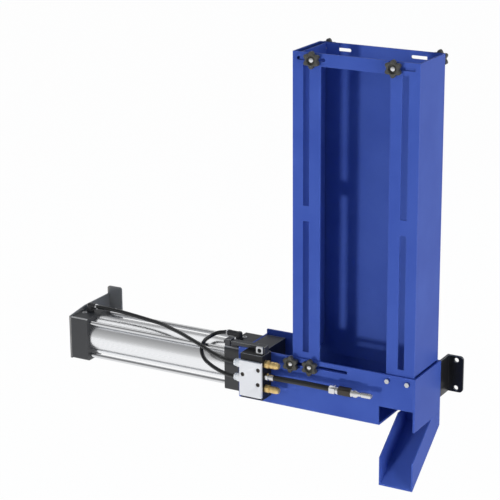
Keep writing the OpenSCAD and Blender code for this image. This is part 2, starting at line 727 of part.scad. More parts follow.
// Bent guide on the rod side cap, with a sleeve that carries the trip bar
module trip_guide() place() black() {
    cap_top = axis_z + cap_side/2;
    y = trip_y - run_gap;
    z = bar_z - run_gap;
    w = trip_depth + 2*run_gap;
    h = trip_height + 2*run_gap;
    foot_y = caps_y + guide_wall;
    translate([guide_x, 0, 0]) rotate([90, 0, 90]) linear_extrude(guide_len) {
        difference() {
            translate([y - guide_wall, z - guide_wall]) square([w + 2*guide_wall, h + 2*guide_wall]);
            translate([y, z]) square([w, h]);
        }
        translate([y + w, z - guide_wall]) square([foot_y + guide_wall - y - w, guide_wall]);
        translate([foot_y, cap_top]) square([guide_wall, z - cap_top]);
        translate([foot_y, cap_top]) square([guide_foot, guide_wall]);
    }
}

// Points of a ring of radius r about the point p, square to the direction d
function unit(v) = v/norm(v);
function side_of(d) = unit(cross(d, abs(d[2]) > 0.9 ? [0, 1, 0] : [0, 0, 1]));
function ring(p, d, r) = let (u = side_of(d), w = cross(d, u))
    [for (k = [0 : tube_sides - 1]) p + r*(cos(360*k/tube_sides)*u + sin(360*k/tube_sides)*w)];
function way(path, i) = unit(path[min(i + 1, len(path) - 1)] - path[max(i - 1, 0)]);

// Tube swept along a route
module swept(path, dia) {
    n = len(path);
    points = [for (i = [0 : n - 1]) each ring(path[i], way(path, i), dia/2)];
    sides = [for (i = [0 : n - 2], k = [0 : tube_sides - 1])
        let (a = i*tube_sides + k, b = i*tube_sides + (k + 1) % tube_sides)
            each [[a, a + tube_sides, b], [b, a + tube_sides, b + tube_sides]]];
    first = [for (k = [1 : tube_sides - 2]) [0, k, k + 1]];
    last = [for (k = [1 : tube_sides - 2]) [0, k + 1, k] + (n - 1)*tube_sides*[1, 1, 1]];
    polyhedron(points = points, faces = concat(sides, first, last));
}

module rear_air_tube() place() black() swept(rear_route, tube_dia);
module front_air_tube() place() black() swept(front_route, tube_dia);
module whip_hose() place() black() swept(hose_route, hose_dia);

// Puts a piece of the plug on the end of the hose, its axis along Z
module on_plug() translate(plug_at) rotate([0, 90 - plug_tilt, 0]) children();

module hose_collar() place() steel() on_plug() cylinder(d = collar_flats/cos(30), h = collar_len, $fn = 6);

module plug_body() place() steel() on_plug() translate([0, 0, collar_len])
    cylinder(d = body_flats/cos(30), h = body_len, $fn = 6);

module plug_nose() place() steel() on_plug() translate([0, 0, collar_len + body_len])
    rotate_extrude() {
        r = nose_dia/2;
        polygon([[0, 0], [r*1.4, 0], [r*1.4, r*2.2], [r*0.8, r*2.8], [r*0.8, r*3.6],
            [r, r*3.9], [r, r*6.9], [r*0.85, r*7.4], [0, r*7.4]]);
    }

// The right bracket: a foot on the back of the base, a web and a flange on the wall
function bracket_screw_z() = [hole_z - hole_pitch*0.3, hole_z + hole_pitch*0.3];

module right_bracket() place() black() {
    web_x = base_len - bracket_sheet;
    r = hole_dia*0.8;
    difference() {
        translate([web_x, wall_y, bracket_low]) rotate([90, 0, 0]) union() {
            round_plate(flange_width, bracket_height, r, bracket_sheet);
            cube([flange_width/2, bracket_height, bracket_sheet]);
        }
        for (z = [-hole_pitch/2, hole_pitch/2])
            rod_y([hole_x, wall_y - bracket_sheet - over, hole_z + z], hole_dia/2, bracket_sheet + 2*over);
    }
    translate([web_x, base_depth, bracket_low])
        cube([bracket_sheet, wall_gap - bracket_sheet, bracket_height]);
    difference() {
        translate([web_x - foot_width, base_depth, bracket_low])
            cube([foot_width, bracket_sheet, bracket_height]);
        for (z = bracket_screw_z())
            rod_y([bracket_screw_x, base_depth - over, z], bracket_screw_r, bracket_sheet + 2*over, small_fn);
    }
}

module right_bracket_screws() place() steel() for (z = bracket_screw_z()) {
    rod_y([bracket_screw_x, base_depth - base_sheet, z], bracket_screw_r - fit_gap,
        base_sheet + bracket_sheet, small_fn);
    rod_y([bracket_screw_x, base_depth + bracket_sheet, z], bracket_screw_r*1.8, bracket_screw_r, small_fn);
}

// The left bracket: a web on the rear cap and a taller flange on the wall
function left_screw_places() = [for (y = [-1, 1], z = [-1, 1])
    [mid_y + y*cap_side*0.2, axis_z + z*cap_side*0.2]];

module left_bracket() place() black() difference() {
    web_top = axis_z + cap_side/2;
    kink = 5;
    flange_top = web_top + kink + hole_dia*1.8;
    web_x = rear_x - bracket_sheet;
    r = hole_dia*0.5;
    union() {
        translate([web_x, 0, 0]) rotate([90, 0, 90]) linear_extrude(bracket_sheet)
            polygon([[caps_y, caps_z], [wall_y, caps_z], [wall_y, web_top + kink],
                [caps_y + cap_side*0.6, web_top + kink], [caps_y, web_top]]);
        translate([web_x, wall_y, caps_z]) rotate([90, 0, 0])
            round_plate(flange_width, flange_top - caps_z, r, bracket_sheet);
    }
    for (z = [0, left_hole_pitch])
        rod_y([left_hole_x, wall_y - bracket_sheet - over, caps_z + left_hole_low + z], hole_dia/2,
            bracket_sheet + 2*over);
    for (p = left_screw_places())
        rod_x([web_x - over, p[0], p[1]], left_screw_r + fit_gap, bracket_sheet + 2*over, small_fn);
}

module left_bracket_screws() place() steel() for (p = left_screw_places()) {
    rod_x([rear_x - bracket_sheet, p[0], p[1]], left_screw_r,
        bracket_sheet + left_screw_len - over, small_fn);
    rod_x([rear_x - bracket_sheet - left_screw_r, p[0], p[1]], left_screw_r*1.8, left_screw_r, small_fn);
}

// Star knob, its face along -Y; dir is 1 in front and -1 on the back panel
module knob_grip(x, y, z, dir) place() color([0.2, 0.2, 0.19]) {
    lobe_r = knob_dia*0.16;
    translate([x, y, z]) rotate([90*dir, 0, 0]) difference() {
        union() {
            cylinder(d = hub_dia, h = hub_thick, $fn = small_fn);
            translate([0, 0, hub_thick]) linear_extrude(knob_thick) {
                circle(r = knob_dia/2 - lobe_r*1.2);
                for (a = [0 : 360/lobes : 359]) rotate(a + 30) {
                    translate([knob_dia/2 - lobe_r, 0]) circle(r = lobe_r, $fn = small_fn);
                    translate([0, -lobe_r]) square([knob_dia/2 - lobe_r, 2*lobe_r]);
                }
            }
        }
        translate([0, 0, -over]) cylinder(r = stud_r, h = hub_thick + knob_thick + 2*over, $fn = small_fn);
        translate([0, 0, hub_thick + knob_thick*recess_share])
            cylinder(r = hub_dia*0.4, h = knob_thick, $fn = small_fn);
    }
}

// Steel stud moulded into a knob, with a domed head in its recess
module knob_stud(x, y, z, dir, reach) place() steel() translate([x, y, z]) rotate([90*dir, 0, 0]) {
    top = hub_thick + knob_thick*recess_share;
    translate([0, 0, -reach]) cylinder(r = stud_r, h = reach + top, $fn = small_fn);
    translate([0, 0, top]) cylinder(r = hub_dia*0.36, h = knob_thick*0.1, $fn = small_fn);
}

module knob_low_outer() knob_grip(low_stud_x, low_face, low_stud_z, 1);
module knob_low_inner() knob_grip(top_stud_x, low_face, low_stud_z, 1);
module knob_top_left() knob_grip(top_stud_x, top_face, top_stud_z, 1);
module knob_top_right() knob_grip(right_stud_x, top_face, top_stud_z, 1);
module knob_back_left() knob_grip(back_left_x, back_face, top_stud_z, -1);
module knob_back_right() knob_grip(back_right_x, back_face, top_stud_z, -1);
module stud_low_outer() knob_stud(low_stud_x, low_face, low_stud_z, 1, low_reach);
module stud_low_inner() knob_stud(top_stud_x, low_face, low_stud_z, 1, low_reach);
module stud_top_left() knob_stud(top_stud_x, top_face, top_stud_z, 1, top_reach);
module stud_top_right() knob_stud(right_stud_x, top_face, top_stud_z, 1, top_reach);
module stud_back_left() knob_stud(back_left_x, back_face, top_stud_z, -1, top_reach);
module stud_back_right() knob_stud(back_right_x, back_face, top_stud_z, -1, top_reach);

base_channel();
end_plate();
strike_plate();
exit_chute();
magazine_front();
magazine_back();
magazine_left_side();
magazine_right_side();
left_can_guide();
right_can_guide();
guide_bolts();
rear_cap();
rod_cap();
barrel();
tie_rods();
tie_rod_nuts();
cushion_screws();
piston();
piston_seals();
piston_rod();
rod_bush();
ram_head();
valve_housing();
valve_plate();
valve_screws();
valve_spool();
valve_fittings();
exhaust_silencers();
inlet_fitting();
cap_elbows();
elbow_collars();
trip_guide();
trip_bar();
trip_block();
trip_nut();
rear_air_tube();
front_air_tube();
whip_hose();
hose_collar();
plug_body();
plug_nose();
right_bracket();
right_bracket_screws();
left_bracket();
left_bracket_screws();
knob_low_outer();
knob_low_inner();
knob_top_left();
knob_top_right();
knob_back_left();
knob_back_right();
stud_low_outer();
stud_low_inner();
stud_top_left();
stud_top_right();
stud_back_left();
stud_back_right();
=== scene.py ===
import json
import math

import bmesh
import bpy
from mathutils import Matrix, Vector

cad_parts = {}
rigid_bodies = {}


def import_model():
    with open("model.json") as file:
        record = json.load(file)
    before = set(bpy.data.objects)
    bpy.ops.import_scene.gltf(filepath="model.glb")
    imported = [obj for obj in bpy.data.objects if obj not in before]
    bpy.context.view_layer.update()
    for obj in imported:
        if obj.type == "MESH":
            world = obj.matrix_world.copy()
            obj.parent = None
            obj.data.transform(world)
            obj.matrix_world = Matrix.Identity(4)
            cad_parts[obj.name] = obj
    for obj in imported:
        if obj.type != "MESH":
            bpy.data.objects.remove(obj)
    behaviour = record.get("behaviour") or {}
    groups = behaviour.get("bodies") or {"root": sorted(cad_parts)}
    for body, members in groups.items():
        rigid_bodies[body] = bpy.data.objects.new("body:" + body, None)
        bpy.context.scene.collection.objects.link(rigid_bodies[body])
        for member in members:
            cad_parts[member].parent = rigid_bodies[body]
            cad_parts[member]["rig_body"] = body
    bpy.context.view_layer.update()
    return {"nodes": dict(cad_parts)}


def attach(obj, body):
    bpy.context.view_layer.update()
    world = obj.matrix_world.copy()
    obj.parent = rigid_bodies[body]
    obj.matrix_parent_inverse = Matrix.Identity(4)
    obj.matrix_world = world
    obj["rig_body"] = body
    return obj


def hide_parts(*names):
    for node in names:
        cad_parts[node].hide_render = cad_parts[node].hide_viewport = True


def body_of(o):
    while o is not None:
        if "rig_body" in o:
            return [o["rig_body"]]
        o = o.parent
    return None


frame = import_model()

# Camera, light and floor.
# The crusher is seen from its front right corner and a little from above, with a
# long lens. A small lamp low in front throws the crisp shadows, and wide soft lamps
# at a plain level fill in from high in front, both sides, overhead and the back.

# The lens, the camera's place and its small shift frame the crusher as the photograph
# does.
camera_data = bpy.data.cameras.new("camera")
camera_data.lens = 130.32
camera_data.sensor_width = 36
camera_data.shift_x = -0.0890
camera_data.shift_y = -0.0117
camera_data.clip_end = 20
camera = bpy.data.objects.new("camera", camera_data)
camera.location = (0.8918, -2.1276, 0.8950)
camera.rotation_euler = (math.radians(72.79), 0, math.radians(28.23))
bpy.context.scene.collection.objects.link(camera)
bpy.context.scene.camera = camera
bpy.context.scene.view_settings.view_transform = "Standard"


def linear(code):
    """Turns an sRGB hex colour into Blender's linear colour."""
    parts = [int(code[i:i + 2], 16) / 255 for i in (1, 3, 5)]
    return [c / 12.92 if c <= 0.04045 else ((c + 0.055) / 1.055) ** 2.4 for c in parts] + [1]


def add(tree, kind, links=None, **settings):
    """Adds a shader node; links sets its sockets, to a value or from another socket."""
    node = tree.nodes.new("ShaderNode" + kind)
    for name, value in settings.items():
        setattr(node, name, value)
    for key, value in (links or {}).items():
        if isinstance(value, bpy.types.NodeSocket):
            tree.links.new(value, node.inputs[key])
        else:
            node.inputs[key].default_value = value
    return node


# Places and sizes of the lamps are in metres, and their powers in watts.
crusher_middle = Vector((-0.15, -0.08, 0.1))
neutral = (1, 1, 1)
warm = (1, 0.96, 0.88)
for name, place, power, size, colour in (("front lamp", (-0.81, -2.6, -0.42), 29, 0.25, warm),
                                         ("high front lamp", (-0.9, -2.4, 1.1), 8, 1.2, neutral),
                                         ("side lamp", (2.6, -0.9, 0.3), 46, 1.6, neutral),
                                         ("top lamp", (-0.4, -0.6, 2.6), 2.5, 2.0, neutral),
                                         ("left lamp", (-3.2, 0.3, 0.5), 32, 1.6, neutral),
                                         ("back lamp", (0.1, 3, 0.7), 30, 1.8, neutral)):
    lamp_data = bpy.data.lights.new(name, "AREA")
    lamp_data.energy = power
    lamp_data.size = size
    lamp_data.color = colour
    lamp = bpy.data.objects.new(name, lamp_data)
    lamp.location = place
    aim = crusher_middle - Vector(place)
    lamp.rotation_euler = aim.to_track_quat("-Z", "Y").to_euler()
    lamp.visible_glossy = False
    bpy.context.scene.collection.objects.link(lamp)

# The camera sees a white room, and a soft blue light from it fills the shadows. Metal
# mirrors it in bands, by the angle from level in front (0) over the top (90) to level
# behind (180): white from below and overhead, greyer at eye level, with a thin dark
# strip just before overhead that draws the dark lines on the rods.
world = bpy.data.worlds.new("white studio")
bpy.context.scene.world = world
world.use_nodes = True
sky = world.node_tree
sky.nodes.clear()
path = add(sky, "LightPath")
seen = add(sky, "Math", {0: path.outputs["Is Camera Ray"], 1: path.outputs["Is Transmission Ray"]},
           operation="MAXIMUM")
mirrored = path.outputs["Is Glossy Ray"]
direction = add(sky, "SeparateXYZ", {0: add(sky, "TexCoord").outputs["Generated"]})
toward = add(sky, "Math", {0: direction.outputs["Y"], 1: -1.0}, operation="MULTIPLY")
turn = add(sky, "Math", {0: direction.outputs["Z"], 1: toward.outputs[0]}, operation="ARCTAN2")
share = add(sky, "MapRange", {"Value": turn.outputs[0], "From Min": -math.pi, "From Max": math.pi})
band = add(sky, "ValToRGB", {0: share.outputs[0]})
band.color_ramp.elements[0].color = (1, 1, 1, 1)
band.color_ramp.elements[1].color = (1, 1, 1, 1)
for degrees, shade in ((-45, 1.0), (-20, 0.88), (0, 0.66), (20, 0.48), (45, 0.34), (68, 0.24),
                       (76, 0.05), (84, 0.05), (91, 1.0), (132, 1.0), (146, 0.35), (172, 0.35),
                       (178, 1.0)):
    spot = band.color_ramp.elements.new(0.5 + degrees / 360)
    spot.color = (shade, shade, shade, 1)
soft = add(sky, "Background", {"Color": (0.3, 0.55, 1, 1), "Strength": 0.22})
white = add(sky, "Background", {"Color": (1, 1, 1, 1), "Strength": 1.0})
shine = add(sky, "Background", {"Color": band.outputs[0], "Strength": 1.0})
with_shine = add(sky, "MixShader", {0: mirrored, 1: soft.outputs[0], 2: shine.outputs[0]})
whole = add(sky, "MixShader", {0: seen.outputs[0], 1: with_shine.outputs[0], 2: white.outputs[0]})
add(sky, "OutputWorld", {"Surface": whole.outputs[0]})


def new_material(name):
    """An empty node material and its node tree, for the section to fill."""
    material = bpy.data.materials.new(name)
    material.use_nodes = True
    material.node_tree.nodes.clear()
    return material, material.node_tree


# The floor is painted pale blue. The camera and mirrors see it all but white, and what
# is left of the paint keeps the crusher's shadow.
FLOOR_HALF_WIDTH = 8
FLOOR_HEIGHT = -0.62
WHITE_SHARE = 0.985
floor_bm = bmesh.new()
bmesh.ops.create_grid(floor_bm, x_segments=1, y_segments=1, size=FLOOR_HALF_WIDTH,
                      matrix=Matrix.Translation((0, 0, FLOOR_HEIGHT)))
floor_mesh = bpy.data.meshes.new("floor")
floor_bm.to_mesh(floor_mesh)
floor_bm.free()
floor = bpy.data.objects.new("floor", floor_mesh)
bpy.context.scene.collection.objects.link(floor)
floor_paint, tree = new_material("pale floor paint")
plain = add(tree, "BsdfDiffuse", {"Color": linear("#C9D2E4")})
glow = add(tree, "Emission", {"Color": (1, 1, 1, 1), "Strength": 1.0})
path = add(tree, "LightPath")
straight = add(tree, "Math", {0: path.outputs["Is Camera Ray"], 1: path.outputs["Is Glossy Ray"]},
               operation="MAXIMUM")
whitened = add(tree, "Math", {0: straight.outputs[0], 1: WHITE_SHARE}, operation="MULTIPLY")
both = add(tree, "MixShader", {0: whitened.outputs[0], 1: plain.outputs[0], 2: glow.outputs[0]})
add(tree, "OutputMaterial", {"Surface": both.outputs[0]})
floor_mesh.materials.append(floor_paint)

# Air tubes and the supply hose.
# The two tubes are black polyurethane, pushed into the fittings of the valve and
# the elbows of the cylinder. The hose is smooth rubber with a steel plug on its end.
FRAME_ORIGIN = Vector((277, 112.5, 48))    # in millimetres from the base's corner


def at(x, y, z):
    """A place in millimetres from the base's front left corner, in the frame's metres."""
    return (Vector((x, y, z)) - FRAME_ORIGIN) / 1000


def tube(name, route, diameter):
    """A round tube through the route's points, diameter metres thick."""
    curve = bpy.data.curves.new(name, "CURVE")
    curve.dimensions = "3D"
    curve.bevel_depth = diameter / 2
    curve.bevel_resolution = 6
    curve.resolution_u = 6
    curve.use_fill_caps = True
    spline = curve.splines.new("BEZIER")
    spline.bezier_points.add(len(route) - 1)
    for point, p in zip(spline.bezier_points, route):
        point.co = at(*p)
        point.handle_left_type = point.handle_right_type = "AUTO"
    piece = bpy.data.objects.new(name, curve)
    bpy.context.scene.collection.objects.link(piece)
    return piece


# Extruded polyurethane is glossy, with a faint haze in patches 4 mm across that bends
# its long highlights.
tube_plastic, tree = new_material("black polyurethane tube")
place = add(tree, "TexCoord").outputs["Object"]
haze = add(tree, "TexNoise", {"Vector": place, "Scale": 1000 / 4, "Detail": 3.0})
gloss = add(tree, "MapRange", {"Value": haze.outputs["Fac"], "To Min": 0.16, "To Max": 0.3})
skin = add(tree, "Bump", {"Height": haze.outputs["Fac"], "Strength": 0.12, "Distance": 0.0001})
shader = add(tree, "BsdfPrincipled", {"Base Color": linear("#191A1B"), "Roughness": gloss.outputs[0],
             "Normal": skin.outputs[0], "IOR": 1.5})
add(tree, "OutputMaterial", {"Surface": shader.outputs[0]})

rear_route = [(-260.9, 41.4, 77), (-258.9, 41.4, 77), (-247.5, 41.5, 77.2), (-232.5, 41.5, 76.7),
              (-217.5, 41.4, 76), (-197.5, 40, 75), (-175.5, 37.5, 74), (-157.5, 34, 73.8),
              (-140.5, 29.4, 74), (-121.5, 20.9, 73.9), (-101.5, 12.5, 73.2), (-78.5, 3.5, 70.8),
              (-56.5, -3.6, 67.2), (-42.5, -8, 64), (-28.5, -11.6, 61.4), (-14.5, -15.2, 60),
              (-5.5, -16.6, 59.1), (1.5, -16.82, 58.91), (3.5, -16.82, 58.91)]
rear_tube = tube("rear_tube", rear_route, 0.0055)
rear_tube.data.materials.append(tube_plastic)
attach(rear_tube, "frame")
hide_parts("rear_air_tube")

front_route = [(-42.515, 41.4, 75.5), (-44.515, 41.4, 75.5), (-47.5, 41, 74.8),
               (-54.5, 38.8, 73.6), (-60, 33.5, 71.4), (-62.5, 27.5, 69.6), (-63.5, 21.5, 68.7),
               (-63.5, 15.2, 67.6), (-63, 8.5, 63.2), (-62.5, 5, 58), (-59.5, 2, 52.6),
               (-53.5, -1.8, 47.8), (-41.5, -7.5, 44), (-26.5, -12.5, 40.8), (-13.5, -15.6, 39),
               (-5.5, -16.6, 38.2), (1.5, -16.82, 38.003), (3.5, -16.82, 38.003)]
front_tube = tube("front_tube", front_route, 0.0055)
front_tube.data.materials.append(tube_plastic)
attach(front_tube, "frame")
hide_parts("front_air_tube")

# Smooth rubber has a soft sheen. Its moulded grain is 0.2 mm, too fine to show, so it
# is drawn 1.1 mm across.
hose_rubber, tree = new_material("smooth black rubber hose")
place = add(tree, "TexCoord").outputs["Object"]
grain = add(tree, "TexNoise", {"Vector": place, "Scale": 1000 / 1.1, "Detail": 2.0})
skin = add(tree, "Bump", {"Height": grain.outputs["Fac"], "Strength": 0.25, "Distance": 0.0001})
shader = add(tree, "BsdfPrincipled", {"Base Color": linear("#181817"), "Roughness": 0.42,
             "Normal": skin.outputs[0]})
add(tree, "OutputMaterial", {"Surface": shader.outputs[0]})

hose_route = [(65, -16.82, 46.487), (67, -16.82, 46.487), (78.5, -17.3, 46.9),
              (90.5, -17.7, 47.3), (103.5, -18, 47.6), (116.5, -18.2, 47.8),
              (129.5, -18.2, 47.8), (140.5, -18.2, 47.7), (149, -18.2, 47.476),
              (151, -18.2, 47.5)]
hose = tube("supply_hose", hose_route, 0.0075)
hose.data.materials.append(hose_rubber)
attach(hose, "frame")
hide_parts("whip_hose")

# Plug at the end of the hose.
# A chromed hexagon collar grips the hose, a dark hexagon body carries it, and the
# turned steel nose has the groove that a quick coupling locks into.
TURNING_STEPS = 48
SHARP_FROM = 32    # an edge that turns by more degrees than this stays crisp


def build(name, bm, material, body, node):
    """Makes a piece from a bmesh, which rides on a body and stands for a CAD node."""
    mesh = bpy.data.meshes.new(name)
    bm.to_mesh(mesh)
    bm.free()
    mesh.materials.append(material)
    piece = bpy.data.objects.new(name, mesh)
    bpy.context.scene.collection.objects.link(piece)
    mesh.shade_smooth()
    mesh.set_sharp_from_angle(angle=math.radians(SHARP_FROM))
    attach(piece, body)
    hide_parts(node)
    return piece


def join(bm, part, where):
    """Adds a finished shape to a bmesh at its place."""
    bmesh.ops.recalc_face_normals(part, faces=part.faces)
    bmesh.ops.transform(part, matrix=where, verts=part.verts)
    carrier = bpy.data.meshes.new("carrier")
    part.to_mesh(carrier)
    part.free()
    bm.from_mesh(carrier)
    bpy.data.meshes.remove(carrier)


def turned(bm, profile, where):
    """Turns a profile of (radius, height) pairs in millimetres about Z and adds it."""
    part = bmesh.new()
    verts = [part.verts.new((r / 1000, 0, h / 1000)) for r, h in profile]
    edges = [part.edges.new(pair) for pair in zip(verts, verts[1:])]
    bmesh.ops.spin(part, geom=verts + edges, cent=(0, 0, 0), axis=(0, 0, 1), angle=math.tau,
                   steps=TURNING_STEPS, use_merge=True, use_duplicate=False)
    bmesh.ops.remove_doubles(part, verts=part.verts, dist=1e-6)
    join(bm, part, where)


def hexagon(bm, flats, low, high, chamfer, where):
    """Adds a hexagon bar with chamfered edges, its axis along Z, in millimetres."""
    part = bmesh.new()
    corner = flats / 2000 / math.cos(math.radians(30))
    middle = Matrix.Translation((0, 0, (high + low) / 2000))
    bmesh.ops.create_cone(part, cap_ends=True, segments=6, radius1=corner, radius2=corner,
                          depth=(high - low) / 1000, matrix=middle)
    bmesh.ops.bevel(part, geom=part.edges[:], offset=chamfer / 1000, offset_type="OFFSET",
                    segments=2, profile=0.5, affect="EDGES", material=-1)
    join(bm, part, where)


def facing(place, way):
    """A matrix that puts the Z axis along way at a place."""
    return Matrix.Translation(place) @ Vector(way).to_track_quat("Z", "Y").to_matrix().to_4x4()


# Polished chrome mirrors the room. Its polishing marks are too fine to show, so they
# are drawn 2 mm across and give the mirror a slight softness.
chrome_steel, tree = new_material("polished chromed steel")
place = add(tree, "TexCoord").outputs["Object"]
marks = add(tree, "TexNoise", {"Vector": place, "Scale": 1000 / 2, "Detail": 4.0})
gloss = add(tree, "MapRange", {"Value": marks.outputs["Fac"], "To Min": 0.1, "To Max": 0.2})
skin = add(tree, "Bump", {"Height": marks.outputs["Fac"], "Strength": 0.06, "Distance": 0.0001})
shader = add(tree, "BsdfPrincipled", {"Base Color": linear("#DCDDDF"), "Metallic": 1.0,
             "Roughness": gloss.outputs[0], "Normal": skin.outputs[0]})
add(tree, "OutputMaterial", {"Surface": shader.outputs[0]})

# Black oxide on steel is dark, oily and half glossy, with blotches 2.4 mm across.
dark_steel, tree = new_material("black oxide steel")
place = add(tree, "TexCoord").outputs["Object"]
marks = add(tree, "TexNoise", {"Vector": place, "Scale": 1000 / 2.4, "Detail": 3.0})
gloss = add(tree, "MapRange", {"Value": marks.outputs["Fac"], "To Min": 0.25, "To Max": 0.42})
shader = add(tree, "BsdfPrincipled", {"Base Color": linear("#4E4A46"), "Metallic": 1.0,
             "Roughness": gloss.outputs[0]})
add(tree, "OutputMaterial", {"Surface": shader.outputs[0]})

plug_rise = math.radians(0.7)
along_plug = Vector((math.cos(plug_rise), 0, math.sin(plug_rise)))
hose_end = at(151, -18.2, 47.5)
on_plug = facing(hose_end, along_plug)
bm = bmesh.new()
hexagon(bm, 13, 0, 8.5, 0.7, on_plug)
turned(bm, [(0, 8), (5.2, 8), (5.2, 10.6), (5.9, 10.9), (5.9, 12.6), (5.5, 13), (0, 13)], on_plug)
collar = build("plug_collar", bm, chrome_steel, "frame", "hose_collar")
bm = bmesh.new()
hexagon(bm, 12, 13, 31, 0.6, on_plug)
body = build("plug_sleeve", bm, dark_steel, "frame", "plug_body")
bm = bmesh.new()
turned(bm, [(0, 31), (4.8, 31), (5.6, 31.6), (5.6, 33.6), (4.9, 34.2), (4.9, 35.2), (5.6, 35.8),
            (5.6, 39), (5, 40.2), (3.4, 41.8), (3.2, 42.4), (3.2, 45.2), (3.4, 45.8), (4, 46.6),
            (4, 57.8), (3.7, 59.8), (3.3, 60.6), (2.4, 60.6), (2.2, 60.2), (2.2, 52), (0, 52)], on_plug)
nose = build("plug_nose_turned", bm, chrome_steel, "frame", "plug_nose")

# Base channel, its end plates, the exit chute and the magazine.
# All are bent or flat mild steel sheet with a satin blue powder coat. The coat has a
# fine orange peel, and every cut edge is painted a paler blue, a painted highlight.
CORNER_FROM = 30    # an edge that turns by more degrees than this is rounded


def rounded(node, name, material, width):
    """A copy of a CAD node with its edges rounded by width millimetres, which stands for it."""
    mesh = frame["nodes"][node].data.copy()
    bm = bmesh.new()
    bm.from_mesh(mesh)
    bmesh.ops.remove_doubles(bm, verts=bm.verts, dist=1e-6)
    bmesh.ops.dissolve_limit(bm, angle_limit=math.radians(0.6), verts=bm.verts, edges=bm.edges)
    mesh.clear_geometry()
    bm.to_mesh(mesh)
    bm.free()
    mesh.materials.clear()
    mesh.materials.append(material)
    mesh.name = name
    piece = bpy.data.objects.new(name, mesh)
    bpy.context.scene.collection.objects.link(piece)
    mesh.shade_smooth()
    mesh.set_sharp_from_angle(angle=math.radians(CORNER_FROM))
    edge = piece.modifiers.new("rounded edges", "BEVEL")
    edge.width = width / 1000
    edge.segments = 2
    edge.limit_method = "ANGLE"
    edge.angle_limit = math.radians(CORNER_FROM)
    edge.harden_normals = True
    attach(piece, body_of(frame["nodes"][node])[0])
    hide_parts(node)
    return piece


def edges_of(tree, width, top_only):
    """A mask of the sharp edges within width millimetres, or only of those that face up."""
    flat_way = add(tree, "NewGeometry").outputs["True Normal"]
    round_way = add(tree, "Bevel", {"Radius": width / 1000}, samples=8).outputs[0]
    along = add(tree, "VectorMath", {0: flat_way, 1: round_way}, operation="DOT_PRODUCT")
    edge = add(tree, "MapRange", {"Value": along.outputs["Value"],
                                  "From Min": 0.992, "From Max": 0.92}).outputs[0]
    if not top_only:
        return edge
    height = add(tree, "SeparateXYZ", {0: round_way}).outputs["Z"]
    up = add(tree, "MapRange", {"Value": height, "From Min": 0.15, "From Max": 0.4}).outputs[0]
    return add(tree, "Math", {0: edge, 1: up}, operation="MULTIPLY").outputs[0]


COLOUR_A, COLOUR_B = 6, 7    # the sockets of the two colours that a Mix node takes
MIXED = 2                    # the socket of the colour that it gives

# A satin powder coat has orange peel 1.9 mm across, clouds of tone 70 mm across, and a
# fine speck in its gloss, 0.1 mm on the real coat and drawn 0.7 mm so that it shows.
blue_coat, tree = new_material("blue powder coat")
place = add(tree, "TexCoord").outputs["Object"]
peel = add(tree, "TexNoise", {"Vector": place, "Scale": 1000 / 1.9, "Detail": 2.0})
cloud = add(tree, "TexNoise", {"Vector": place, "Scale": 1000 / 70, "Detail": 3.0})
speck = add(tree, "TexNoise", {"Vector": place, "Scale": 1000 / 0.7, "Detail": 2.0})
tone = add(tree, "MapRange", {"Value": cloud.outputs["Fac"], "From Min": 0.3, "From Max": 0.7})
blue = add(tree, "Mix", {0: tone.outputs[0], COLOUR_A: linear("#435BAE"), COLOUR_B: linear("#4B64B7")},
           data_type="RGBA")
# Sharp edges are mixed towards a paler blue: a painted highlight along every edge.
edge_highlight_share = add(tree, "Math", {0: edges_of(tree, 0.9, top_only=False), 1: 0.55}, operation="MULTIPLY")
blue_with_edge_highlight = add(tree, "Mix", {0: edge_highlight_share.outputs[0], COLOUR_A: blue.outputs[MIXED], COLOUR_B: linear("#5F78C8")},
           data_type="RGBA")
gloss = add(tree, "MapRange", {"Value": speck.outputs["Fac"], "To Min": 0.3, "To Max": 0.44})
skin = add(tree, "Bump", {"Height": peel.outputs["Fac"], "Strength": 0.16, "Distance": 0.0001})
shader = add(tree, "BsdfPrincipled", {"Base Color": blue_with_edge_highlight.outputs[MIXED], "Roughness": gloss.outputs[0],
             "Normal": skin.outputs[0], "Specular IOR Level": 0.08})
add(tree, "OutputMaterial", {"Surface": shader.outputs[0]})

for node, edge_mm in (("base_channel", 0.35), ("end_plate", 0.35), ("strike_plate", 0.35),
                      ("exit_chute", 0.3), ("magazine_front", 0.3), ("magazine_back", 0.3),
                      ("magazine_left_side", 0.2), ("magazine_right_side", 0.2),
                      ("left_can_guide", 0.3), ("right_can_guide", 0.3)):
    rounded(node, node + "_sheet", blue_coat, edge_mm)

# Bolts, screws and nuts.
# They are turned and pressed from steel and zinc plated, bright and slightly milky.
# The bolts clamp the right can guide, and the others hold the caps, both brackets and
# the block on the trip bar.

# Zinc plating has a milky bloom with spots of brighter metal, drawn 1.4 mm across,
# coarser than the real crystals, so that it shows.
zinc_steel, tree = new_material("zinc plated steel")
place = add(tree, "TexCoord").outputs["Object"]
marks = add(tree, "TexNoise", {"Vector": place, "Scale": 1000 / 1.4, "Detail": 3.0})
gloss = add(tree, "MapRange", {"Value": marks.outputs["Fac"], "To Min": 0.24, "To Max": 0.42})
tone = add(tree, "Mix", {0: marks.outputs["Fac"], COLOUR_A: linear("#BFC1C4"), COLOUR_B: linear("#D9DADC")},
           data_type="RGBA")
shader = add(tree, "BsdfPrincipled", {"Base Color": tone.outputs[MIXED], "Metallic": 1.0,
             "Roughness": gloss.outputs[0]})
add(tree, "OutputMaterial", {"Surface": shader.outputs[0]})
for node, edge_mm in (("guide_bolts", 0.5), ("tie_rod_nuts", 0.2), ("right_bracket_screws", 0.5),
                      ("left_bracket_screws", 0.5), ("cushion_screws", 0.2),
                      ("trip_nut", 0.5)):
    rounded(node, node + "_zinc", zinc_steel, edge_mm)
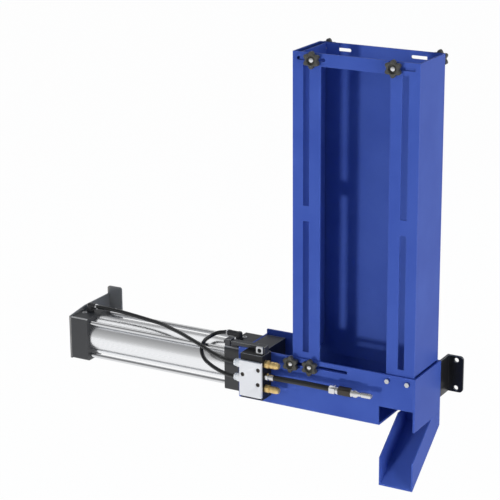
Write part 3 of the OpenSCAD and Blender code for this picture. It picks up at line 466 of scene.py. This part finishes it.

# Cylinder caps.
# The caps are sawn from square aluminium bar, milled and anodised black, and close the
# barrel at both ends between the four tie rods.

# Milled and anodised metal is a warm black with a satin grain. The grain is 0.1 mm,
# drawn 0.9 mm so that it shows, and the dye is cloudy over 40 mm. The rounded upper
# corners along the cylinder get a pale painted highlight, about 1.5 mm wide.
black_anodised, tree = new_material("black anodised aluminium")
place = add(tree, "TexCoord").outputs["Object"]
grain = add(tree, "TexNoise", {"Vector": place, "Scale": 1000 / 0.9, "Detail": 3.0})
cloud = add(tree, "TexNoise", {"Vector": place, "Scale": 1000 / 40, "Detail": 2.0})
tone = add(tree, "Mix", {0: cloud.outputs["Fac"], COLOUR_A: linear("#383839"), COLOUR_B: linear("#444444")},
           data_type="RGBA")
gloss = add(tree, "MapRange", {"Value": grain.outputs["Fac"], "To Min": 0.34, "To Max": 0.52})
skin = add(tree, "Bump", {"Height": grain.outputs["Fac"], "Strength": 0.15, "Distance": 0.0001})

# The painted highlight mask keeps what faces up and to the front or back, between level and upright.
outward = add(tree, "SeparateXYZ", {0: add(tree, "NewGeometry").outputs["Normal"]})
not_upright = add(tree, "MapRange", {"Value": outward.outputs["Z"], "From Min": 0.4, "From Max": 0.55})
not_level = add(tree, "MapRange", {"Value": outward.outputs["Z"], "From Min": 0.98, "From Max": 0.9})
sideways = add(tree, "Math", {0: outward.outputs["Y"]}, operation="ABSOLUTE")
highlight_strength = add(tree, "MapRange", {"Value": sideways.outputs[0], "From Min": 0.1, "From Max": 0.3,
                              "To Max": 0.65})
rounding = add(tree, "Math", {0: not_upright.outputs[0], 1: not_level.outputs[0]}, operation="MULTIPLY")
painted_highlight = add(tree, "Math", {0: rounding.outputs[0], 1: highlight_strength.outputs[0]}, operation="MULTIPLY")
# A pale colour is mixed in there as a painted highlight on the black.
highlighted_tone = add(tree, "Mix", {0: painted_highlight.outputs[0], COLOUR_A: tone.outputs[MIXED], COLOUR_B: linear("#EAE6DE")},
           data_type="RGBA")
shader = add(tree, "BsdfPrincipled", {"Base Color": highlighted_tone.outputs[MIXED], "Roughness": gloss.outputs[0],
             "Normal": skin.outputs[0], "Metallic": 0.2})
add(tree, "OutputMaterial", {"Surface": shader.outputs[0]})
for node in ("rear_cap", "rod_cap"):
    rounded(node, node + "_milled", black_anodised, 0.3)

# Left wall bracket.
# It is bent steel plate behind the rear cap, with a matt powder coat painted a dark grey paler than the
# caps, as painted light for the shade that the rear cap throws on it. The coat's fine texture spreads the
# light evenly.

# The powder coat has peel 2 mm across and a dull, even tone over 40 mm.
grey_coat_lit_for_shade, tree = new_material("dark grey powder coat painted lighter for shade")
place = add(tree, "TexCoord").outputs["Object"]
peel = add(tree, "TexNoise", {"Vector": place, "Scale": 1000 / 2, "Detail": 2.0})
cloud = add(tree, "TexNoise", {"Vector": place, "Scale": 1000 / 40, "Detail": 2.0})
# The grey is lighter than the caps' black as painted light, to make up for the rear cap's shade.
tone = add(tree, "Mix", {0: cloud.outputs["Fac"], COLOUR_A: linear("#82807B"), COLOUR_B: linear("#8E8B86")},
           data_type="RGBA")
gloss = add(tree, "MapRange", {"Value": peel.outputs["Fac"], "To Min": 0.42, "To Max": 0.55})
skin = add(tree, "Bump", {"Height": peel.outputs["Fac"], "Strength": 0.14, "Distance": 0.0001})
shader = add(tree, "BsdfPrincipled", {"Base Color": tone.outputs[MIXED], "Roughness": gloss.outputs[0],
             "Normal": skin.outputs[0], "Specular IOR Level": 0.3})
add(tree, "OutputMaterial", {"Surface": shader.outputs[0]})
rounded("left_bracket", "left_bracket_painted_lighter", grey_coat_lit_for_shade, 0.5)

# Valve housing and the right wall bracket.
# Both have a deeper black than the caps: a die cast housing and a bent steel plate
# under the same semi-gloss enamel, which shows a faint waviness in its highlights.

# Enamel is a deep black with waves 5.5 mm across, and grains of dust drawn 1.1 mm
# across, coarser than they are. Upper edges get a pale painted highlight, about 1.4 mm wide.
black_enamel, tree = new_material("semi-gloss black enamel")
place = add(tree, "TexCoord").outputs["Object"]
wave = add(tree, "TexNoise", {"Vector": place, "Scale": 1000 / 5.5, "Detail": 2.0})
grain = add(tree, "TexNoise", {"Vector": place, "Scale": 1000 / 1.1, "Detail": 2.0})
tone = add(tree, "Mix", {0: wave.outputs["Fac"], COLOUR_A: linear("#161617"), COLOUR_B: linear("#202021")},
           data_type="RGBA")
# Edges that face up are mixed towards a pale grey: a painted highlight.
painted_highlight = add(tree, "Math", {0: edges_of(tree, 1.4, top_only=True), 1: 0.45}, operation="MULTIPLY")
highlighted_tone = add(tree, "Mix", {0: painted_highlight.outputs[0], COLOUR_A: tone.outputs[MIXED], COLOUR_B: linear("#E4E4E4")},
           data_type="RGBA")
gloss = add(tree, "MapRange", {"Value": grain.outputs["Fac"], "To Min": 0.28, "To Max": 0.4})
skin = add(tree, "Bump", {"Height": wave.outputs["Fac"], "Strength": 0.1, "Distance": 0.0002})
shader = add(tree, "BsdfPrincipled", {"Base Color": highlighted_tone.outputs[MIXED], "Roughness": gloss.outputs[0],
             "Normal": skin.outputs[0], "Specular IOR Level": 0.3})
add(tree, "OutputMaterial", {"Surface": shader.outputs[0]})
for node, slot in (("valve_housing", "black_anodised"), ("right_bracket", "black_paint")):
    rounded(node, node + "_enamelled", black_enamel, 0.25)

# Barrel, tie rods and piston.
# The barrel is drawn aluminium tube, polished along its length, and the piston runs in
# it on a hard chromed rod. Four cold drawn steel rods tie the caps together.

# Polishing leaves lines along the tube, 160 mm long and drawn 2.5 mm apart, coarser
# than they are. They spread its highlights across the tube.
polished, tree = new_material("polished aluminium")
place = add(tree, "TexCoord").outputs["Object"]
stretch = add(tree, "Mapping", {"Vector": place, "Scale": (1000 / 160, 1000 / 2.5, 1000 / 2.5)})
drawn = add(tree, "TexNoise", {"Vector": stretch.outputs[0], "Scale": 1.0, "Detail": 4.0})
gloss = add(tree, "MapRange", {"Value": drawn.outputs["Fac"], "To Min": 0.22, "To Max": 0.31})
skin = add(tree, "Bump", {"Height": drawn.outputs["Fac"], "Strength": 0.05, "Distance": 0.0001})
shader = add(tree, "BsdfPrincipled", {"Base Color": linear("#F2F3F5"), "Metallic": 1.0,
             "Roughness": gloss.outputs[0], "Normal": skin.outputs[0]})
add(tree, "OutputMaterial", {"Surface": shader.outputs[0]})
for node in ("barrel", "piston"):
    rounded(node, node + "_polished", polished, 0.3)
rounded("piston_rod", "piston_rod_chromed", chrome_steel, 0.3)

# Cold drawn rods are a sharper mirror than the barrel, with die lines along them drawn
# 2 mm apart and 125 mm long, coarser than they are.
drawn_steel, tree = new_material("bright drawn steel")
place = add(tree, "TexCoord").outputs["Object"]
stretch = add(tree, "Mapping", {"Vector": place, "Scale": (1000 / 125, 1000 / 2, 1000 / 2)})
drawn = add(tree, "TexNoise", {"Vector": stretch.outputs[0], "Scale": 1.0, "Detail": 4.0})
gloss = add(tree, "MapRange", {"Value": drawn.outputs["Fac"], "To Min": 0.08, "To Max": 0.16})
tone = add(tree, "Mix", {0: drawn.outputs["Fac"], COLOUR_A: linear("#D2D3D5"), COLOUR_B: linear("#E2E3E5")},
           data_type="RGBA")
shader = add(tree, "BsdfPrincipled", {"Base Color": tone.outputs[MIXED], "Metallic": 1.0,
             "Roughness": gloss.outputs[0]})
add(tree, "OutputMaterial", {"Surface": shader.outputs[0]})
rounded("tie_rods", "tie_rods_drawn", drawn_steel, 0.3)

# Moulded rubber is dull, with a grain drawn 1.25 mm across, coarser than it is.
seal_rubber, tree = new_material("nitrile rubber")
place = add(tree, "TexCoord").outputs["Object"]
grain = add(tree, "TexNoise", {"Vector": place, "Scale": 1000 / 1.25, "Detail": 2.0})
skin = add(tree, "Bump", {"Height": grain.outputs["Fac"], "Strength": 0.2, "Distance": 0.0001})
shader = add(tree, "BsdfPrincipled", {"Base Color": linear("#1B1B1B"), "Roughness": 0.6,
             "Normal": skin.outputs[0]})
add(tree, "OutputMaterial", {"Surface": shader.outputs[0]})
rounded("piston_seals", "piston_seals_rubber", seal_rubber, 0.2)

# Sintered and turned brass is a soft gold. Its grains are about 0.3 mm, drawn 1.1 mm
# across so that they show, and blur what it mirrors.
brass, tree = new_material("turned brass")
place = add(tree, "TexCoord").outputs["Object"]
grain = add(tree, "TexNoise", {"Vector": place, "Scale": 1000 / 1.1, "Detail": 4.0})
tone = add(tree, "Mix", {0: grain.outputs["Fac"], COLOUR_A: linear("#DDB465"), COLOUR_B: linear("#FBE2A6")},
           data_type="RGBA")
gloss = add(tree, "MapRange", {"Value": grain.outputs["Fac"], "To Min": 0.38, "To Max": 0.55})
skin = add(tree, "Bump", {"Height": grain.outputs["Fac"], "Strength": 0.2, "Distance": 0.0001})
shader = add(tree, "BsdfPrincipled", {"Base Color": tone.outputs[MIXED], "Metallic": 0.8,
             "Roughness": gloss.outputs[0], "Normal": skin.outputs[0]})
add(tree, "OutputMaterial", {"Surface": shader.outputs[0]})
rounded("rod_bush", "rod_bush_turned", brass, 0.3)

# Ram head and trip parts.
# They are cut and bent steel with a satin black paint. The ram head pushes on the can,
# and the trip bar slides through its bent guide and carries the block over the valve.

# The paint has a soft texture 1.5 mm across and tone over 33 mm. Its upper edges get
# a pale painted highlight, about 1.6 mm wide.
black_paint, tree = new_material("satin black paint on steel")
place = add(tree, "TexCoord").outputs["Object"]
grain = add(tree, "TexNoise", {"Vector": place, "Scale": 1000 / 1.5, "Detail": 3.0})
cloud = add(tree, "TexNoise", {"Vector": place, "Scale": 1000 / 33, "Detail": 2.0})
tone = add(tree, "Mix", {0: cloud.outputs["Fac"], COLOUR_A: linear("#343436"), COLOUR_B: linear("#3F3F41")},
           data_type="RGBA")
# Edges that face up are mixed towards a pale grey: a painted highlight.
painted_highlight = add(tree, "Math", {0: edges_of(tree, 1.6, top_only=True), 1: 0.45}, operation="MULTIPLY")
highlighted_tone = add(tree, "Mix", {0: painted_highlight.outputs[0], COLOUR_A: tone.outputs[MIXED], COLOUR_B: linear("#E4E2D8")},
           data_type="RGBA")
gloss = add(tree, "MapRange", {"Value": grain.outputs["Fac"], "To Min": 0.3, "To Max": 0.46})
skin = add(tree, "Bump", {"Height": grain.outputs["Fac"], "Strength": 0.18, "Distance": 0.0001})
shader = add(tree, "BsdfPrincipled", {"Base Color": highlighted_tone.outputs[MIXED], "Roughness": gloss.outputs[0],
             "Normal": skin.outputs[0]})
add(tree, "OutputMaterial", {"Surface": shader.outputs[0]})
for node, edge_mm in (("ram_head", 0.3), ("trip_bar", 0.25), ("trip_block", 0.3), ("trip_guide", 0.25)):
    rounded(node, node + "_painted", black_paint, edge_mm)

# Valve plate and spool.
# The plate is a milled aluminium cover with a clear anodised face, held by three
# blackened screws. The spool is ground steel inside the housing.

# The clear layer makes brushed aluminium look almost white. Brush lines run up and
# down, 17 mm long, drawn 1.1 mm apart, coarser than they are.
clear_anodised, tree = new_material("clear anodised aluminium")
place = add(tree, "TexCoord").outputs["Object"]
stretch = add(tree, "Mapping", {"Vector": place, "Scale": (1000 / 1.1, 1000 / 1.1, 1000 / 17)})
brushed = add(tree, "TexNoise", {"Vector": stretch.outputs[0], "Scale": 1.0, "Detail": 3.0})
gloss = add(tree, "MapRange", {"Value": brushed.outputs["Fac"], "To Min": 0.38, "To Max": 0.52})
skin = add(tree, "Bump", {"Height": brushed.outputs["Fac"], "Strength": 0.08, "Distance": 0.0001})
shader = add(tree, "BsdfPrincipled", {"Base Color": linear("#F3F1EE"), "Metallic": 0.12,
             "Roughness": gloss.outputs[0], "Normal": skin.outputs[0]})
add(tree, "OutputMaterial", {"Surface": shader.outputs[0]})
rounded("valve_plate", "valve_plate_milled", clear_anodised, 0.4)
rounded("valve_screws", "valve_screws_blackened", dark_steel, 0.15)
rounded("valve_spool", "valve_spool_ground", zinc_steel, 0.2)

# Push-in fittings on the valve's left side.
# Each is a white moulded collar with a release ring that the tube goes through, and
# its stem is pushed into the valve.

# Acetal is a glossy, waxy white. Its mould texture is drawn 1.4 mm across, coarser
# than it is.
white_acetal, tree = new_material("white moulded acetal")
place = add(tree, "TexCoord").outputs["Object"]
grain = add(tree, "TexNoise", {"Vector": place, "Scale": 1000 / 1.4, "Detail": 2.0})
skin = add(tree, "Bump", {"Height": grain.outputs["Fac"], "Strength": 0.08, "Distance": 0.0001})
shader = add(tree, "BsdfPrincipled", {"Base Color": linear("#FAF9F5"), "Roughness": 0.33,
             "Normal": skin.outputs[0]})
add(tree, "OutputMaterial", {"Surface": shader.outputs[0]})

VALVE_LEFT = 17.5
VALVE_RIGHT = 51
PORTS_Y = -16.82
bm = bmesh.new()
for z in (58.91, 38.003):
    where = facing(at(VALVE_LEFT, PORTS_Y, z), (-1, 0, 0))
    turned(bm, [(0, -3.4), (4, -3.4), (4, 0.2), (5.4, 0.2), (5.9, 0.8), (6, 2), (6, 8), (5.8, 9),
                (5.2, 10), (4.4, 10.4), (4.4, 11), (5, 11.4), (5.1, 12.8), (4.7, 13.6), (3.6, 14),
                (0, 14)], where)
build("valve_fittings_moulded", bm, white_acetal, "frame", "valve_fittings")

# Exhaust silencers on the valve's right side.
# Each is brass: a hexagon foot, screwed into the valve, carries a porous sintered cone
# with a stepped nose.
bm = bmesh.new()
for z in (64.2125, 29.014):
    where = facing(at(VALVE_RIGHT, PORTS_Y, z), (1, 0, 0))
    turned(bm, [(0, -3.4), (4, -3.4), (4, 0.1), (0, 0.1)], where)
    hexagon(bm, 10.4, 0.05, 6.9, 0.6, where)
    turned(bm, [(0, 6.8), (4.3, 6.8), (4.3, 8.2), (4.6, 8.5), (4.9, 9.2), (4.9, 12.2), (4.6, 12.7),
                (4.6, 13.2), (4.9, 13.7), (4.9, 17.6), (4.3, 18.8), (4.1, 19.2), (4, 20.6),
                (3.5, 21.3), (0, 21.5)], where)
build("exhaust_silencers_turned", bm, brass, "frame", "exhaust_silencers")

# Inlet fitting of the hose.
# It is bright plated steel: a hexagon screwed into the valve, with a ferrule that is
# crimped over the hose end.
INLET_Z = 46.487
bm = bmesh.new()
where = facing(at(VALVE_RIGHT, PORTS_Y, INLET_Z), (1, 0, 0))
turned(bm, [(0, -3.4), (4, -3.4), (4, 0.1), (0, 0.1)], where)
hexagon(bm, 10.2, 0.05, 6.3, 0.6, where)
turned(bm, [(0, 6.2), (3.7, 6.2), (3.7, 7.4), (4.9, 7.8), (4.9, 9.6), (4.5, 10), (4.9, 10.4),
            (4.9, 12), (4.5, 12.4), (4.9, 12.8), (4.9, 13.6), (4.6, 14), (0, 14)], where)
build("inlet_fitting_crimped", bm, chrome_steel, "frame", "inlet_fitting")

# Elbow fittings on the cylinder caps.
# A black moulded elbow turns on a hexagon foot in the cap's port, and a bright ring
# closes its mouth round the tube.

# Nylon is a satin black with a spark texture drawn 1.5 mm across, coarser than it is.
black_nylon, tree = new_material("black moulded nylon")
place = add(tree, "TexCoord").outputs["Object"]
grain = add(tree, "TexNoise", {"Vector": place, "Scale": 1000 / 1.5, "Detail": 2.0})
skin = add(tree, "Bump", {"Height": grain.outputs["Fac"], "Strength": 0.15, "Distance": 0.0001})
shader = add(tree, "BsdfPrincipled", {"Base Color": linear("#2A2A2B"), "Roughness": 0.38,
             "Normal": skin.outputs[0]})
add(tree, "OutputMaterial", {"Surface": shader.outputs[0]})

CYLINDER_Y = 41.4
CAP_TOP = 68
bm = bmesh.new()
rings = bmesh.new()

# Each row has the elbow's x, the way it points, its arm's height and the arm's reach.
for x, way, rise, arm in ((-272.9, 1, 9, 9.5), (-22.515, -1, 7.5, 17.5)):
    foot = Matrix.Translation(at(x, CYLINDER_Y, CAP_TOP))
    foot_top = rise * 0.4
    turned(bm, [(0, -5.3), (4, -5.3), (4, 0.1), (0, 0.1)], foot)
    hexagon(bm, 9.6, 0.05, foot_top, 0.5, foot)
    turned(bm, [(0, foot_top - 0.1), (4.2, foot_top - 0.1), (4.6, foot_top + 0.4), (4.6, rise + 1.4),
                (4.3, rise + 2.6), (3.4, rise + 3.6), (2, rise + 4.1), (0, rise + 4.3)], foot)
    mouth = facing(at(x, CYLINDER_Y, CAP_TOP + rise), (way, 0, 0))
    turned(bm, [(0, 0), (4, 0), (4, arm * 0.72), (4.3, arm * 0.76), (4.3, arm - 0.5),
                (4, arm), (0, arm)], mouth)
    turned(rings, [(0, arm), (3.6, arm), (4, arm + 0.4), (4, arm + 1.8), (3.6, arm + 2.5),
                   (0, arm + 2.5)], mouth)
build("cap_elbows_moulded", bm, black_nylon, "frame", "cap_elbows")
build("elbow_rings", rings, chrome_steel, "frame", "elbow_collars")

# Star knobs.
# Six knobs of dark grey moulded nylon, with six lobes each, clamp the can guides. Each
# is moulded on a steel stud, whose domed chrome end shows in a round recess.

# Glass filled nylon is a warm dark grey, mottled and dull. Its texture is drawn 1.3 mm
# across, coarser than it is.
grey_nylon, tree = new_material("dark grey moulded nylon")
place = add(tree, "TexCoord").outputs["Object"]
grain = add(tree, "TexNoise", {"Vector": place, "Scale": 1000 / 1.3, "Detail": 3.0})
tone = add(tree, "Mix", {0: grain.outputs["Fac"], COLOUR_A: linear("#403F3A"), COLOUR_B: linear("#504E47")},
           data_type="RGBA")
skin = add(tree, "Bump", {"Height": grain.outputs["Fac"], "Strength": 0.22, "Distance": 0.0001})
shader = add(tree, "BsdfPrincipled", {"Base Color": tone.outputs[MIXED], "Roughness": 0.46,
             "Normal": skin.outputs[0]})
add(tree, "OutputMaterial", {"Surface": shader.outputs[0]})

# Sizes of a knob in millimetres. A stud ends at the inner face of its can guide, so the
# lower ones reach through two walls and the upper ones through one.
LOBES = 6
ROOT_RADIUS = 8.2
LOBE_REACH = 3.55
STAR_THICK = 7
STAR_STAND = 2
STAR_ROUNDING = 1.1
RECESS_RADIUS = 6.6
LOW_REACH = 7.9
TOP_REACH = 4.6
PLAIN_RADIUS = 10    # of the circle that the star is pulled from
top_z = STAR_THICK / 1000

# Each row has the knob's name, its place on the sheet, and 1 where it faces the wall.
for name, x, y, z, way in (("low_outer", 83.95, -0.3, 66.5, -1), ("low_inner", 112.85, -0.3, 66.5, -1),
                           ("top_left", 112.85, 3, 484.5, -1), ("top_right", 227.8, 3, 484.5, -1),
                           ("back_left", 92.5, 79.8, 484.5, 1), ("back_right", 252.5, 79.8, 484.5, 1)):
    where = facing(at(x, y, z), (0, way, 0))
    bm = bmesh.new()

    # The star is a round plate pulled in between its lobes, with a round hole in its top.
    star = bmesh.new()
    bmesh.ops.create_circle(star, cap_ends=True, segments=96, radius=PLAIN_RADIUS / 1000)
    for v in star.verts:
        turn = math.atan2(v.co.y, v.co.x)
        lobe = 0.5 - 0.5 * math.cos(LOBES * turn)
        v.co *= (ROOT_RADIUS + LOBE_REACH * lobe ** 0.8) / PLAIN_RADIUS
    lifted = bmesh.ops.extrude_face_region(star, geom=star.faces[:])
    top = [v for v in lifted["geom"] if isinstance(v, bmesh.types.BMVert)]
    bmesh.ops.translate(star, verts=top, vec=(0, 0, top_z))
    lid = [f for f in star.faces if f.calc_center_median().z > 0.9 * top_z]
    bmesh.ops.delete(star, geom=lid, context="FACES_ONLY")
    rim = [e for e in star.edges if e.verts[0].co.z + e.verts[1].co.z > 1.9 * top_z]
    hole = bmesh.ops.create_circle(star, cap_ends=False, segments=96, radius=RECESS_RADIUS / 1000,
                                   matrix=Matrix.Translation((0, 0, top_z)))["verts"]
    bmesh.ops.bridge_loops(star, edges=rim + list({e for v in hole for e in v.link_edges}))
    bmesh.ops.recalc_face_normals(star, faces=star.faces)
    level = [e for e in star.edges if abs(e.verts[0].co.z - e.verts[1].co.z) < 1e-6
             and len(e.link_faces) == 2]
    rims = [e for e in level if abs(e.link_faces[0].normal.z - e.link_faces[1].normal.z) > 0.5]
    bmesh.ops.bevel(star, geom=rims, offset=STAR_ROUNDING / 1000, offset_type="OFFSET", segments=4,
                    profile=0.5, affect="EDGES", material=-1)
    bmesh.ops.translate(star, verts=star.verts, vec=(0, 0, STAR_STAND / 1000))
    join(bm, star, where)

    # A collar seats the star on the sheet, and a turned cup lines its recess.
    turned(bm, [(0, 0.1), (5.7, 0.1), (5.9, 0.5), (5.9, 2.2), (0, 2.2)], where)
    turned(bm, [(6.6, 9), (6.3, 8.9), (6.1, 8.6), (5.6, 6), (5.2, 5.6), (0, 5.6)], where)
    build("knob_%s_star" % name, bm, grey_nylon, "knob_" + name, "knob_" + name)

    # The stud has a plain shank behind the knob and a domed end in its recess.
    bm = bmesh.new()
    reach = LOW_REACH if name.startswith("low") else TOP_REACH
    turned(bm, [(0, -reach), (1.6, -reach), (2, -reach + 0.4), (2, 5.4), (3.9, 5.4), (4, 6.2),
                (3.6, 7.2), (2.7, 8), (1.4, 8.4), (0, 8.5)], where)
    build("stud_%s_chromed" % name, bm, chrome_steel, "knob_" + name, "stud_" + name)
